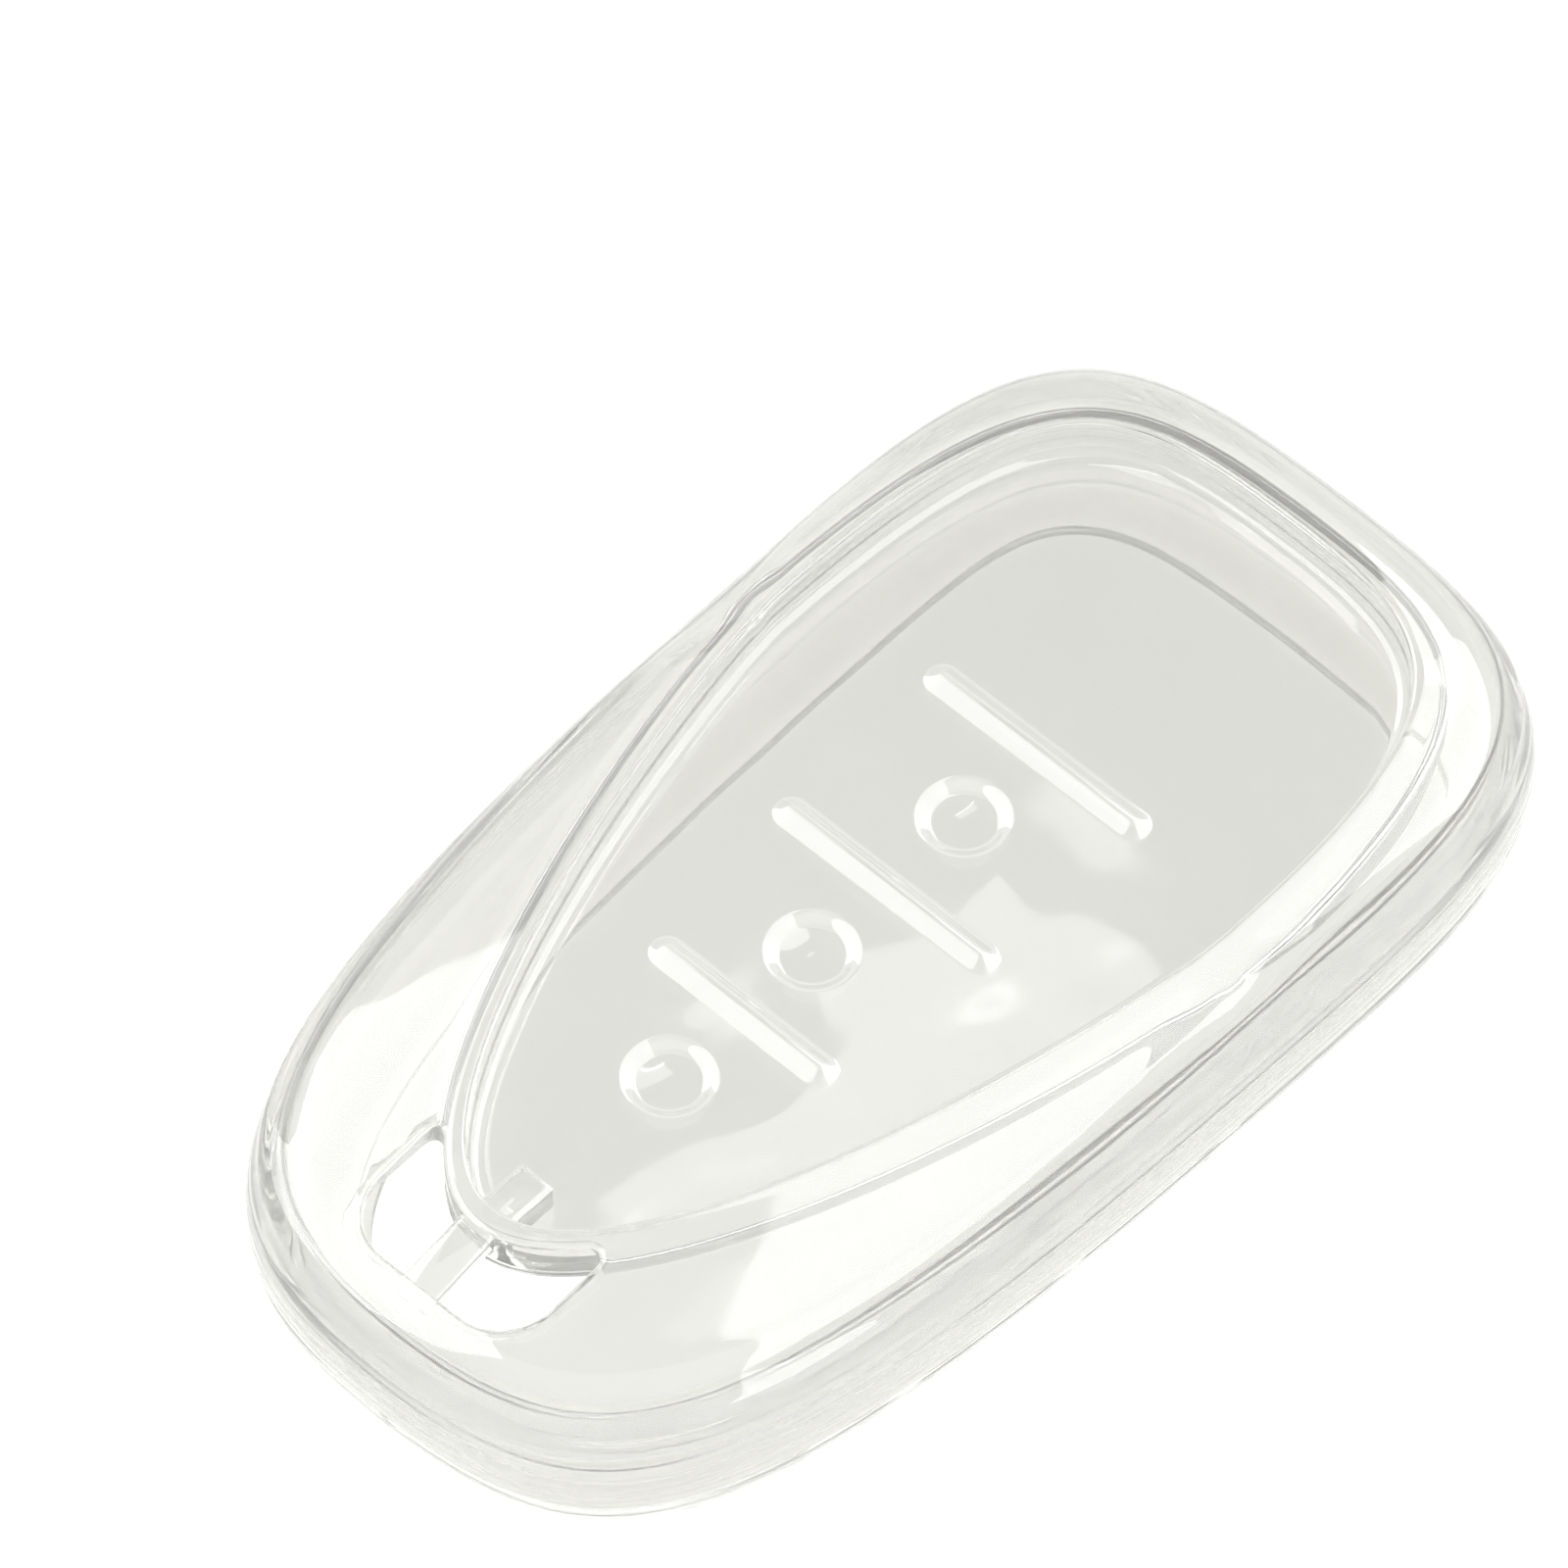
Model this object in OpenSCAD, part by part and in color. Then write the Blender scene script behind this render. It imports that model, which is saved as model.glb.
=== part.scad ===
// Clear one-piece key fob cover, lying on its open back with the button face up.
// +X points to the wide end, -X to the key ring end, +Z out of the button face.
// An outline is four curves through its end and side points. A flat share says how far
// a curve leaves a point along its tangent: more makes that end or side flatter.

/* [Outline] */
// Length from the key ring end to the wide end
cover_length = 81.4; // [74:0.2:96]
// Width at the widest station
cover_width = 45.0; // [42:0.2:56]
// Height from the back face to the top of the front rim
cover_height = 13.2; // [12:0.1:18]
// Distance from the wide end back to the widest station
widest_from_wide_end = 23.3; // [18:0.1:30]
// Flat share across the wide end
cover_wide_end_share = 0.74; // [0.5:0.01:0.95]
// Flat share along the sides ahead of the widest station
cover_wide_side_share = 0.91; // [0.5:0.01:0.95]
// Flat share along the sides behind the widest station
cover_ring_side_share = 0.87; // [0.5:0.01:0.95]
// Flat share across the key ring end
cover_ring_end_share = 0.80; // [0.5:0.01:0.95]

/* [Side wall] */
// Height of the line where the side wall bulges furthest
girth_height = 4.8; // [3:0.1:6]
// How far the wall draws in from the bulge to the back face
foot_draw_in = 1.8; // [1:0.1:2.6]
// How far the wall draws in from the bulge to the flat of the front rim
shoulder_draw_in = 5.2; // [3:0.1:5.6]
// Distance from the bulge in to the pocket that holds the fob
pocket_inset = 2.0; // [1.7:0.1:2.6]

/* [Back lip] */
// Thickness of the lip that holds the fob in
lip_thickness = 1.3; // [0.8:0.1:2]
// Distance from the bulge in to the joint between wall foot and lip
lip_joint_inset = 3.5; // [3.1:0.1:4]
// Distance from the wide end in to the back opening
opening_from_wide_end = 6.3; // [5:0.1:9]
// Distance from the key ring end in to the back opening
opening_from_ring_end = 6.6; // [5:0.1:12]
// Distance from the widest side in to the back opening
opening_from_side = 6.3; // [5.6:0.1:9]
// Distance from the wide end to the widest station of the back opening
opening_widest_from_wide_end = 19.2; // [16:0.1:28]
// Flat share across the wide end of the back opening
opening_wide_end_share = 0.85; // [0.5:0.01:0.95]
// Flat share along the sides ahead of the widest station of the back opening
opening_wide_side_share = 0.87; // [0.5:0.01:0.95]
// Flat share along the sides behind the widest station of the back opening
opening_ring_side_share = 0.95; // [0.5:0.01:0.95]
// Flat share across the key ring end of the back opening
opening_ring_end_share = 0.71; // [0.5:0.01:0.95]
// Width of the ledge on the lip against the wall
ledge_width = 1.1; // [0.5:0.1:1.3]
// Height of the ledge above the lip
ledge_height = 0.7; // [0.4:0.1:1.2]

/* [Front panel] */
// Thickness of the panel over the buttons
panel_thickness = 1.2; // [0.8:0.1:1.8]
// Depth of the recess from the rim down to the panel
recess_depth = 2.3; // [1.4:0.1:3]
// Distance from the wide end in to the recess
recess_from_wide_end = 6.1; // [5.5:0.1:9]
// Distance from the key ring end in to the recess
recess_from_ring_end = 9.9; // [9:0.1:13]
// Distance from the widest side in to the recess
recess_from_side = 5.3; // [5:0.1:8]
// Distance from the wide end to the widest station of the recess
recess_widest_from_wide_end = 29.8; // [24:0.1:34]
// Flat share across the wide end of the recess
recess_wide_end_share = 0.71; // [0.5:0.01:0.95]
// Flat share along the wide sides of the recess
recess_wide_side_share = 0.94; // [0.5:0.01:0.95]
// Flat share where the sides of the recess begin to taper
recess_taper_side_share = 0.16; // [0.05:0.01:0.6]
// Flat share across the point of the recess
recess_taper_end_share = 0.58; // [0.3:0.01:0.9]

/* [Front rim] */
// Thickness of the front rim over the hollow under it
rim_thickness = 1.5; // [1.2:0.1:2]
// Thickness of the wall round the recess, and of the crescent where it bridges the hole
recess_wall = 1.5; // [1:0.1:2.2]
// How far the outer side of the hollow draws in from the pocket up to its roof
hollow_draw_in = 3.2; // [2.4:0.1:3.6]

/* [Button pads] */
// Distance from the wide end to the first pad
first_pad_from_wide_end = 32.9; // [31:0.1:35]
// Distance from the first pad to the second
first_pad_pitch = 12.6; // [11:0.1:13]
// Distance from the second pad to the third
second_pad_pitch = 11.8; // [11:0.1:13]
// Diameter of the flat of a pad
pad_diameter = 3.7; // [3:0.1:4.4]
// Diameter of the round dish whose sloping web carries a pad
web_diameter = 5.8; // [5.2:0.1:6.4]
// How far a pad lies below the panel, at the bottom of its dish
pad_drop = 0.45; // [0.2:0.05:0.6]
// Gap round a pad, where the soft web gives
pad_clearance = 0.08; // [0.05:0.01:0.2]

/* [Separator bars] */
// Distance from a pad to the bar on its wide end side
bar_lead = 6.1; // [5.5:0.1:6.6]
// Width of a bar
bar_width = 2.0; // [1.2:0.1:2.6]
// Height of a bar above the panel
bar_height = 0.6; // [0.3:0.1:1]
// Length of the two bars nearer the wide end
long_bar_length = 16.7; // [12:0.1:18]
// Length of the bar nearest the key ring
short_bar_length = 13.8; // [9:0.1:15]

/* [Key ring hole] */
// Distance from the key ring end in to the key ring hole
ring_hole_from_end = 3.6; // [3.2:0.1:4.5]
// Width of the key ring hole
ring_hole_width = 13.2; // [11:0.1:15]
// Radius of the corners of the hole
ring_hole_corner_radius = 3.0; // [1:0.1:4]
// Width of the strap that crosses the hole on the centre line
strap_width = 2.6; // [1.6:0.1:3.2]
// Thickness of the strap
strap_thickness = 1.1; // [0.8:0.1:2]
// Depth of the strap and tab below the top of the rim
strap_drop = 0.2; // [0.1:0.1:0.5]
// Length of the tab that runs from the bridge onto the panel
tab_length = 3.6; // [2:0.1:4.5]

/* [Hidden] */

// Points along a quarter of an outline, and levels up the curved parts of the wall
quarter_points = 24;
foot_levels = 4;
middle_levels = 4;
shoulder_levels = 8;
hollow_levels = 5;
round_facets = 64;
// How far a cutter runs past what it cuts
overrun = 0.5;

clear_tpu = [0.88, 0.89, 0.88, 0.45];
clear_tpu_pad = [0.80, 0.86, 0.90, 0.60];
clear_tpu_bar = [0.86, 0.88, 0.84, 0.55];

wide_end_x = cover_length / 2;
ring_end_x = -cover_length / 2;
recess_point_x = ring_end_x + recess_from_ring_end;
ring_hole_x = ring_end_x + ring_hole_from_end;
panel_top_z = cover_height - recess_depth;
pocket_top_z = panel_top_z - panel_thickness;
pad_top_z = panel_top_z - pad_drop;
shoulder_height = cover_height - girth_height;
hollow_height = cover_height - rim_thickness - pocket_top_z;
strap_top_z = cover_height - strap_drop;

function curve_point(a, b, c, d, t) =
    pow(1 - t, 3) * a + 3 * pow(1 - t, 2) * t * b + 3 * (1 - t) * t * t * c + pow(t, 3) * d;

// A quarter of an outline, without its last point, from start to finish by their tangents
function quarter_curve(start, start_pull, finish, finish_pull) =
    [for (i = [0 : quarter_points - 1])
        curve_point(start, start + start_pull, finish + finish_pull, finish, i / quarter_points)];

// A closed outline, alike on both sides of the centre line. It widens from the two
// ends to the widest station, and its shares run from the wide end to the other.
function outline(wide_x, ring_x, widest_x, half, shares) =
    let (
        to_end = [0, half * shares[0]],
        to_wide = [(wide_x - widest_x) * shares[1], 0],
        to_ring = [(ring_x - widest_x) * shares[2], 0],
        to_tip = [0, half * shares[3]],
        wide = [wide_x, 0],
        ring = [ring_x, 0],
        left = [widest_x, half],
        right = [widest_x, -half]
    )
    concat(
        quarter_curve(wide, to_end, left, to_wide),
        quarter_curve(left, to_ring, ring, to_tip),
        quarter_curve(ring, -to_tip, right, to_ring),
        quarter_curve(right, to_wide, wide, -to_end)
    );

// The outer outline of the cover, drawn in by an inset
function cover_outline(inset) =
    outline(wide_end_x - inset, ring_end_x + inset, wide_end_x - widest_from_wide_end,
        cover_width / 2 - inset, [cover_wide_end_share, cover_wide_side_share,
            cover_ring_side_share, cover_ring_end_share]);

// The teardrop outline of the recess, let out by a margin
function recess_outline(margin) =
    outline(wide_end_x - recess_from_wide_end + margin, recess_point_x - margin,
        wide_end_x - recess_widest_from_wide_end, cover_width / 2 - recess_from_side + margin,
        [recess_wide_end_share, recess_wide_side_share,
            recess_taper_side_share, recess_taper_end_share]);

function opening_outline() =
    outline(wide_end_x - opening_from_wide_end, ring_end_x + opening_from_ring_end,
        wide_end_x - opening_widest_from_wide_end, cover_width / 2 - opening_from_side,
        [opening_wide_end_share, opening_wide_side_share,
            opening_ring_side_share, opening_ring_end_share]);

// Inset of the outer wall at a height, a quarter ellipse below and above the girth
function wall_inset(z) =
    z < girth_height
        ? foot_draw_in * (1 - sqrt(1 - pow((girth_height - z) / girth_height, 2)))
        : shoulder_draw_in * (1 - sqrt(max(0, 1 - pow((z - girth_height) / shoulder_height, 2))));

// How far up the shoulder's quarter ellipse the top of the pocket lies, as an angle
function pocket_top_angle() = asin((pocket_top_z - girth_height) / shoulder_height);

// Heights from the pocket top to the rim flat, close together where the shoulder turns
function shoulder_heights() =
    let (start = pocket_top_angle())
    [for (k = [0 : shoulder_levels])
        girth_height + shoulder_height * sin(start + (90 - start) * k / shoulder_levels)];

// Heights from the back face to the pocket top
function wall_heights() = concat(
    [for (k = [0 : foot_levels - 1]) girth_height * (1 - cos(90 * k / foot_levels))],
    [for (k = [0 : middle_levels])
        girth_height + shoulder_height * sin(pocket_top_angle() * k / middle_levels)]);

function raised(outline_points, z) = [for (p = outline_points) [p[0], p[1], z]];

function wall_rings(heights) = [for (z = heights) raised(cover_outline(wall_inset(z)), z)];

// The hollow under the rim: it opens into the pocket, and its outer side is a quarter
// ellipse that follows the shoulder up to the roof
function hollow_rings() = concat(
    [raised(cover_outline(pocket_inset), pocket_top_z - overrun)],
    [for (k = [0 : hollow_levels]) let (angle = 90 * k / hollow_levels)
        raised(cover_outline(pocket_inset + hollow_draw_in * (1 - cos(angle))),
            pocket_top_z + hollow_height * sin(angle))]);

// A closed solid through a stack of rings with as many points each
module ring_stack(rings) {
    points = [for (ring = rings) each ring];
    count = len(rings[0]);
    last = len(rings) - 1;
    bottom = [for (i = [0 : count - 1]) i];
    top = [for (i = [count - 1 : -1 : 0]) last * count + i];
    sides = [for (k = [0 : last - 1]) for (i = [0 : count - 1])
        let (j = (i + 1) % count, low = k * count, high = low + count)
        each [[low + i, high + i, high + j], [low + i, high + j, low + j]]];
    polyhedron(points, concat([bottom, top], sides));
}

module slab(z, height) {
    translate([0, 0, z]) linear_extrude(height) children();
}

module recess_shape(margin = 0) {
    polygon(recess_outline(margin));
}

// The key ring hole carried on into the recess: the bridge lies across it
module ring_hole_blank() {
    half = ring_hole_width / 2;
    radius = ring_hole_corner_radius;
    reach = recess_point_x + half - ring_hole_x;
    translate([ring_hole_x, 0]) {
        translate([radius, -half]) square([reach - radius, ring_hole_width]);
        translate([0, radius - half]) square([reach, ring_hole_width - 2 * radius]);
        for (side = [-1, 1]) translate([radius, side * (half - radius)])
            circle(r = radius, $fn = round_facets);
    }
}

// A band on the centre line as wide as the strap
module strap_band(from_x, length) {
    translate([from_x, -strap_width / 2]) square([length, strap_width]);
}

module front_rim() {
    color(clear_tpu)
    difference() {
        ring_stack(wall_rings(shoulder_heights()));
        slab(pocket_top_z - overrun, cover_height - pocket_top_z + 2 * overrun) {
            recess_shape();
            ring_hole_blank();
        }
        difference() {
            ring_stack(hollow_rings());
            slab(pocket_top_z - 2 * overrun, cover_height) recess_shape(recess_wall);
        }
    }
}

module front_panel() {
    color(clear_tpu)
    difference() {
        slab(pocket_top_z, panel_thickness) recess_shape();
        for (k = [0 : 2]) translate([pad_x(k), 0, pocket_top_z - overrun])
            cylinder(h = panel_thickness + 2 * overrun, d = web_diameter, $fn = round_facets);
    }
}

module side_wall() {
    color(clear_tpu)
    difference() {
        ring_stack(wall_rings(wall_heights()));
        slab(lip_thickness, cover_height) polygon(cover_outline(pocket_inset));
        slab(-overrun, cover_height) polygon(cover_outline(lip_joint_inset));
    }
}

module back_lip() {
    color(clear_tpu)
    slab(0, lip_thickness)
    difference() {
        polygon(cover_outline(lip_joint_inset));
        polygon(opening_outline());
    }
}

module lip_ledge() {
    color(clear_tpu)
    slab(lip_thickness, ledge_height)
    difference() {
        polygon(cover_outline(pocket_inset));
        polygon(cover_outline(pocket_inset + ledge_width));
    }
}

module key_ring_bridge() {
    color(clear_tpu)
    slab(pocket_top_z, cover_height - pocket_top_z)
    difference() {
        intersection() {
            ring_hole_blank();
            recess_shape(recess_wall);
        }
        recess_shape();
    }
}

module key_ring_strap() {
    color(clear_tpu_bar)
    slab(strap_top_z - strap_thickness, strap_thickness)
    difference() {
        intersection() {
            ring_hole_blank();
            strap_band(ring_end_x, recess_from_ring_end);
        }
        recess_shape(recess_wall);
    }
}

module bridge_tab() {
    color(clear_tpu_bar)
    slab(panel_top_z, strap_top_z - panel_top_z)
    intersection() {
        recess_shape();
        strap_band(recess_point_x - overrun, tab_length + overrun);
    }
}

// Pads and bars are counted from the wide end, 0 is the lower one
function pad_x(k) =
    wide_end_x - first_pad_from_wide_end
        - (k > 0 ? first_pad_pitch : 0) - (k > 1 ? second_pad_pitch : 0);

function bar_length(k) = k < 2 ? long_bar_length : short_bar_length;

module button_pad(k) {
    color(clear_tpu_pad)
    translate([pad_x(k), 0, pocket_top_z])
    cylinder(h = pad_top_z - pocket_top_z, d = pad_diameter, $fn = round_facets);
}

// A ring that slopes down from the panel to the edge of its pad
module pad_web(k) {
    inner = pad_diameter / 2 + pad_clearance;
    outer = web_diameter / 2;
    color(clear_tpu)
    translate([pad_x(k), 0, 0])
    rotate_extrude($fn = round_facets)
    polygon([
        [outer, pocket_top_z],
        [outer, panel_top_z],
        [inner, pad_top_z],
        [inner, pocket_top_z]
    ]);
}

module separator_bar(k) {
    reach = (bar_length(k) - bar_width) / 2;
    color(clear_tpu_bar)
    translate([pad_x(k) + bar_lead, 0, 0])
    slab(panel_top_z, bar_height) {
        translate([-bar_width / 2, -reach]) square([bar_width, 2 * reach]);
        for (side = [-1, 1]) translate([0, side * reach]) circle(d = bar_width, $fn = round_facets);
    }
}

module lower_button_pad() { button_pad(0); }
module middle_button_pad() { button_pad(1); }
module upper_button_pad() { button_pad(2); }
module lower_pad_web() { pad_web(0); }
module middle_pad_web() { pad_web(1); }
module upper_pad_web() { pad_web(2); }
module lower_separator_bar() { separator_bar(0); }
module middle_separator_bar() { separator_bar(1); }
module upper_separator_bar() { separator_bar(2); }

front_rim();
front_panel();
side_wall();
back_lip();
lip_ledge();
key_ring_bridge();
key_ring_strap();
bridge_tab();
lower_button_pad();
middle_button_pad();
upper_button_pad();
lower_pad_web();
middle_pad_web();
upper_pad_web();
lower_separator_bar();
middle_separator_bar();
upper_separator_bar();
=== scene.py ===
import math

import bmesh
import bpy
from mathutils import Matrix, Quaternion, Vector, noise


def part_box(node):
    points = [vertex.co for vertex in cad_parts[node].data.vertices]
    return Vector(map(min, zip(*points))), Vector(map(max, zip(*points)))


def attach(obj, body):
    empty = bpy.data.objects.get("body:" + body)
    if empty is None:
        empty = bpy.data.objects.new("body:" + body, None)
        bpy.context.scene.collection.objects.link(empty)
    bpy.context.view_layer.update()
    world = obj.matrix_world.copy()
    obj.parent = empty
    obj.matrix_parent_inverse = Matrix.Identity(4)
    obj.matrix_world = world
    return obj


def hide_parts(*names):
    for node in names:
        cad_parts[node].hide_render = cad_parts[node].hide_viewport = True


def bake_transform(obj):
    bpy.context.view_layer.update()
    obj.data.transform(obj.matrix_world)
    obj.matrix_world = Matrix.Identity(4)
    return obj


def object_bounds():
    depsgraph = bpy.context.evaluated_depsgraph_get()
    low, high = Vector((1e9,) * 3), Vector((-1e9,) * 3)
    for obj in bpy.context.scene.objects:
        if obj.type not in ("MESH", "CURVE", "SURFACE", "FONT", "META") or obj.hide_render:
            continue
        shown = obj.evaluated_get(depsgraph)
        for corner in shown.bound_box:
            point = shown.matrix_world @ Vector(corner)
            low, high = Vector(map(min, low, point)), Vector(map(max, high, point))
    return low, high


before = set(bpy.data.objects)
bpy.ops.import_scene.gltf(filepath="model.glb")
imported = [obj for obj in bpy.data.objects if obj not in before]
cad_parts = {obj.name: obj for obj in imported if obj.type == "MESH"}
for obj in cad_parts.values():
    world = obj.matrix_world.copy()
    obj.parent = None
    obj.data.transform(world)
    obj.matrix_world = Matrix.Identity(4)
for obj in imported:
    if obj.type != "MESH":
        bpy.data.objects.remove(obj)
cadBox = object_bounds()
mm = 0.001
scene = bpy.context.scene
scene.view_settings.view_transform = "Standard"
print("frame loaded:", len(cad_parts), "nodes")


def nodeBox(name):
    low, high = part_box(name)
    return low / mm, high / mm


# Sizes in millimetres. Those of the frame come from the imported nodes.
coverLow, coverHigh = cadBox[0] / mm, cadBox[1] / mm
panelLow, panelHigh = nodeBox("front_panel")
ledgeHigh = nodeBox("lip_ledge")[1]
lipHigh = nodeBox("back_lip")[1]
bridgeLow, bridgeHigh = nodeBox("key_ring_bridge")
strapLow, strapHigh = nodeBox("key_ring_strap")
tabLow, tabHigh = nodeBox("bridge_tab")

# How finely the skin is drawn
steps = {
    "outline": 44,  # points along a quarter of an outline
    "panel": 26,  # rings from the middle of the panel out to its edge
    "edge": 5,  # rings round an edge of the recess
    "crown": 22,
    "wall": 8,
    "foot": 9,
    "lip": 4,
    "hollow": 16,
    "flare": 6,  # round the top edge of the key ring hole
    "rounding": 4,  # round an edge of the strap and its tab
    "turned": 96,  # sides of a pad
    "web": 12,
    "pad": 8,
}

# A form's outline is given by its two ends, its widest place and half its width, and by
# how far its curve is pulled: at the wide end, on either side of the widest place, and at
# the ring end
cover = {
    "wideX": coverHigh.x,
    "ringX": coverLow.x,
    "widestX": coverHigh.x - 23.3,
    "half": coverHigh.y,
    "top": coverHigh.z,
    "shares": (0.74, 0.91, 0.87, 0.80),
    "girth": 4.8,  # height of the widest part
    "footDrawIn": 1.8,  # how far the foot draws in from the widest part
    "crownDrawIn": 5.2,  # how far in from the widest part the rounded shoulder begins
    "rimSlope": 0.13,  # fall of the rim for each millimetre outwards from the recess edge
    "crownFoot": 9.0,  # height where the crown runs into the wall
    "pocketInset": coverHigh.y - ledgeHigh.y,  # how far in from the widest part the pocket lies
    "pocketCorner": 0.2,
    "footRounding": 0.35,
    "mouldLines": (2.6, 3.5, 4.3, 5.2, 6.2, 7.3),  # heights of the fine lines left by the tool
    "mouldLineDepth": 0.03,
    "mouldLineHalf": 0.1,  # half the width of a line
}
# The hollow on the underside of the rim
hollow = {
    "roof": coverHigh.z - 1.9,
    "drawIn": 3.6,  # how far its outer side draws in from the pocket up to its roof
    "cornerRadius": 0.6,
}
recess = {
    "wideX": panelHigh.x,
    "ringX": panelLow.x,
    "widestX": coverHigh.x - 29.8,
    "half": panelHigh.y,
    "floor": panelHigh.z,
    "shares": (0.71, 0.94, 0.16, 0.58),
    "footRadius": 0.55,
    "edgeRadius": 0.28,
    "draft": 0.25,  # how much narrower the recess is at its floor
    "wall": 1.5,  # thickness of the skin round the recess
}
opening = {
    "wideX": coverHigh.x - 6.3,
    "ringX": coverLow.x + 6.6,
    "widestX": coverHigh.x - 19.2,
    "half": coverHigh.y - 6.3,
    "shares": (0.85, 0.87, 0.95, 0.71),
    "edgeRadius": 0.5,
    "ledgeWidth": 1.1,
    "ledgeRounding": 0.15,
}


def curvePoint(a, b, c, d, t):
    s = 1 - t
    return s**3 * a + 3 * s * s * t * b + 3 * s * t * t * c + t**3 * d


def quarterCurve(start, startPull, finish, finishPull):
    count = steps["outline"]
    return [
        curvePoint(start, start + startPull, finish + finishPull, finish, i / count)
        for i in range(count)
    ]


# A closed outline through its two ends and its widest points, let out by a margin
def outline(form, margin=0.0):
    wideX, ringX = form["wideX"] + margin, form["ringX"] - margin
    widestX, half = form["widestX"], form["half"] + margin
    endShare, wideShare, ringShare, tipShare = form["shares"]
    toEnd, toTip = Vector((0, half * endShare)), Vector((0, half * tipShare))
    toWide = Vector(((wideX - widestX) * wideShare, 0))
    toRing = Vector(((ringX - widestX) * ringShare, 0))
    wide, ring = Vector((wideX, 0)), Vector((ringX, 0))
    left, right = Vector((widestX, half)), Vector((widestX, -half))
    return (
        quarterCurve(wide, toEnd, left, toWide)
        + quarterCurve(left, toRing, ring, toTip)
        + quarterCurve(ring, -toTip, right, toRing)
        + quarterCurve(right, toWide, wide, -toEnd)
    )


def mixLoops(a, b, share):
    return [p.lerp(q, share) for p, q in zip(a, b)]


def shrinkLoop(points, share):
    centre = Vector(((max(p.x for p in points) + min(p.x for p in points)) / 2, 0))
    return [centre + (p - centre) * share for p in points]


# Moves each point of a loop out along its own normal
def letOut(points, distance):
    moved = []
    for i, point in enumerate(points):
        along = (points[(i + 1) % len(points)] - points[i - 1]).normalized()
        moved.append(point + Vector((along.y, -along.x)) * distance)
    return moved


# A closed form through a stack of loops, each given as its points and its height, or a
# height for each point: the first loop is capped, and its edge is extruded from loop to loop
def loft(levels):
    bm = bmesh.new()
    points, z = levels[0]
    ring = [bm.verts.new((p.x, p.y, z)) for p in points]
    edges = [bm.edges.new((ring[i - 1], ring[i])) for i in range(len(ring))]
    bmesh.ops.contextual_create(bm, geom=edges)
    for points, z in levels[1:]:
        heights = z if isinstance(z, list) else [z] * len(points)
        made = bmesh.ops.extrude_edge_only(bm, edges=edges)["geom"]
        fresh = {item for item in made if isinstance(item, bmesh.types.BMVert)}
        ring = [
            next(edge.other_vert(vert) for edge in vert.link_edges if edge.other_vert(vert) in fresh)
            for vert in ring
        ]
        for vert, point, height in zip(ring, points, heights):
            vert.co = (point.x, point.y, height)
        edges = [
            item for item in made
            if isinstance(item, bmesh.types.BMEdge) and all(vert in fresh for vert in item.verts)
        ]
    bmesh.ops.contextual_create(bm, geom=edges)
    bmesh.ops.recalc_face_normals(bm, faces=bm.faces)
    return bm


sharpAngle = math.radians(38)  # edges steeper than this keep their crease


def shadeSoft(mesh):
    mesh.shade_smooth()
    mesh.set_sharp_from_angle(angle=sharpAngle)


def objectFrom(bm, name):
    mesh = bpy.data.meshes.new(name)
    bmesh.ops.scale(bm, vec=(mm, mm, mm), verts=bm.verts)
    bm.to_mesh(mesh)
    bm.free()
    shadeSoft(mesh)
    piece = bpy.data.objects.new(name, mesh)
    scene.collection.objects.link(piece)
    return piece


# The sine and cosine of each step round a fillet, between two angles in degrees
def fillet(count, start=0.0, finish=90.0):
    for k in range(count + 1):
        angle = math.radians(start + (finish - start) * k / count)
        yield math.sin(angle), math.cos(angle)


def smoothShare(value):
    value = min(max(value, 0.0), 1.0)
    return value * value * (3 - 2 * value)


# How far the wall is drawn in at a height, a quarter ellipse above and below the girth
def drawInAt(height):
    girth = cover["girth"]
    if height > girth:
        share, drawIn = (height - girth) / (cover["top"] - girth), cover["crownDrawIn"]
    else:
        share, drawIn = (girth - height) / girth, cover["footDrawIn"]
    return drawIn * (1 - math.sqrt(max(0.0, 1 - share * share)))


# Height of the crown at a distance in from the girth, where the rim has a given width: a
# quarter ellipse, lowered by a slope that runs out from the recess edge to the crown's foot
def crownHeight(distance, width):
    girth, high = cover["girth"], cover["top"] - cover["girth"]
    share = max(0.0, 1 - distance / cover["crownDrawIn"])
    rise = math.sqrt(1 - share * share)
    footRise = (cover["crownFoot"] - girth) / high
    fall = cover["rimSlope"] * max(0.0, width - distance)
    return girth + high * rise - fall * smoothShare((rise - footRise) / (1 - footRise))


# The crown of the rim, from the recess edge out to the crown's foot
def crownLevels(innerRim):
    edge = outline(cover)
    foot = outline(cover, -drawInAt(cover["crownFoot"]))
    levels = []
    for sine, cosine in fillet(steps["crown"], 4, 86):
        points = mixLoops(innerRim, foot, sine)
        heights = [crownHeight((p - q).length, (r - q).length) for p, q, r in zip(points, edge, innerRim)]
        levels.append((points, heights))
    return levels


# Height of the crown at any point of the rim
def rimHeightAt(point):
    pairs = zip(outline(cover), outline(recess, recess["edgeRadius"]))
    choices = []
    for outer, inner in pairs:
        along = inner - outer
        share = min(max((point - outer).dot(along) / along.length_squared, 0.0), 1.0)
        gap = (point - outer - along * share).length
        choices.append((gap, along.length * share, along.length))
    gap, distance, width = min(choices)
    return crownHeight(distance, width)


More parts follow.
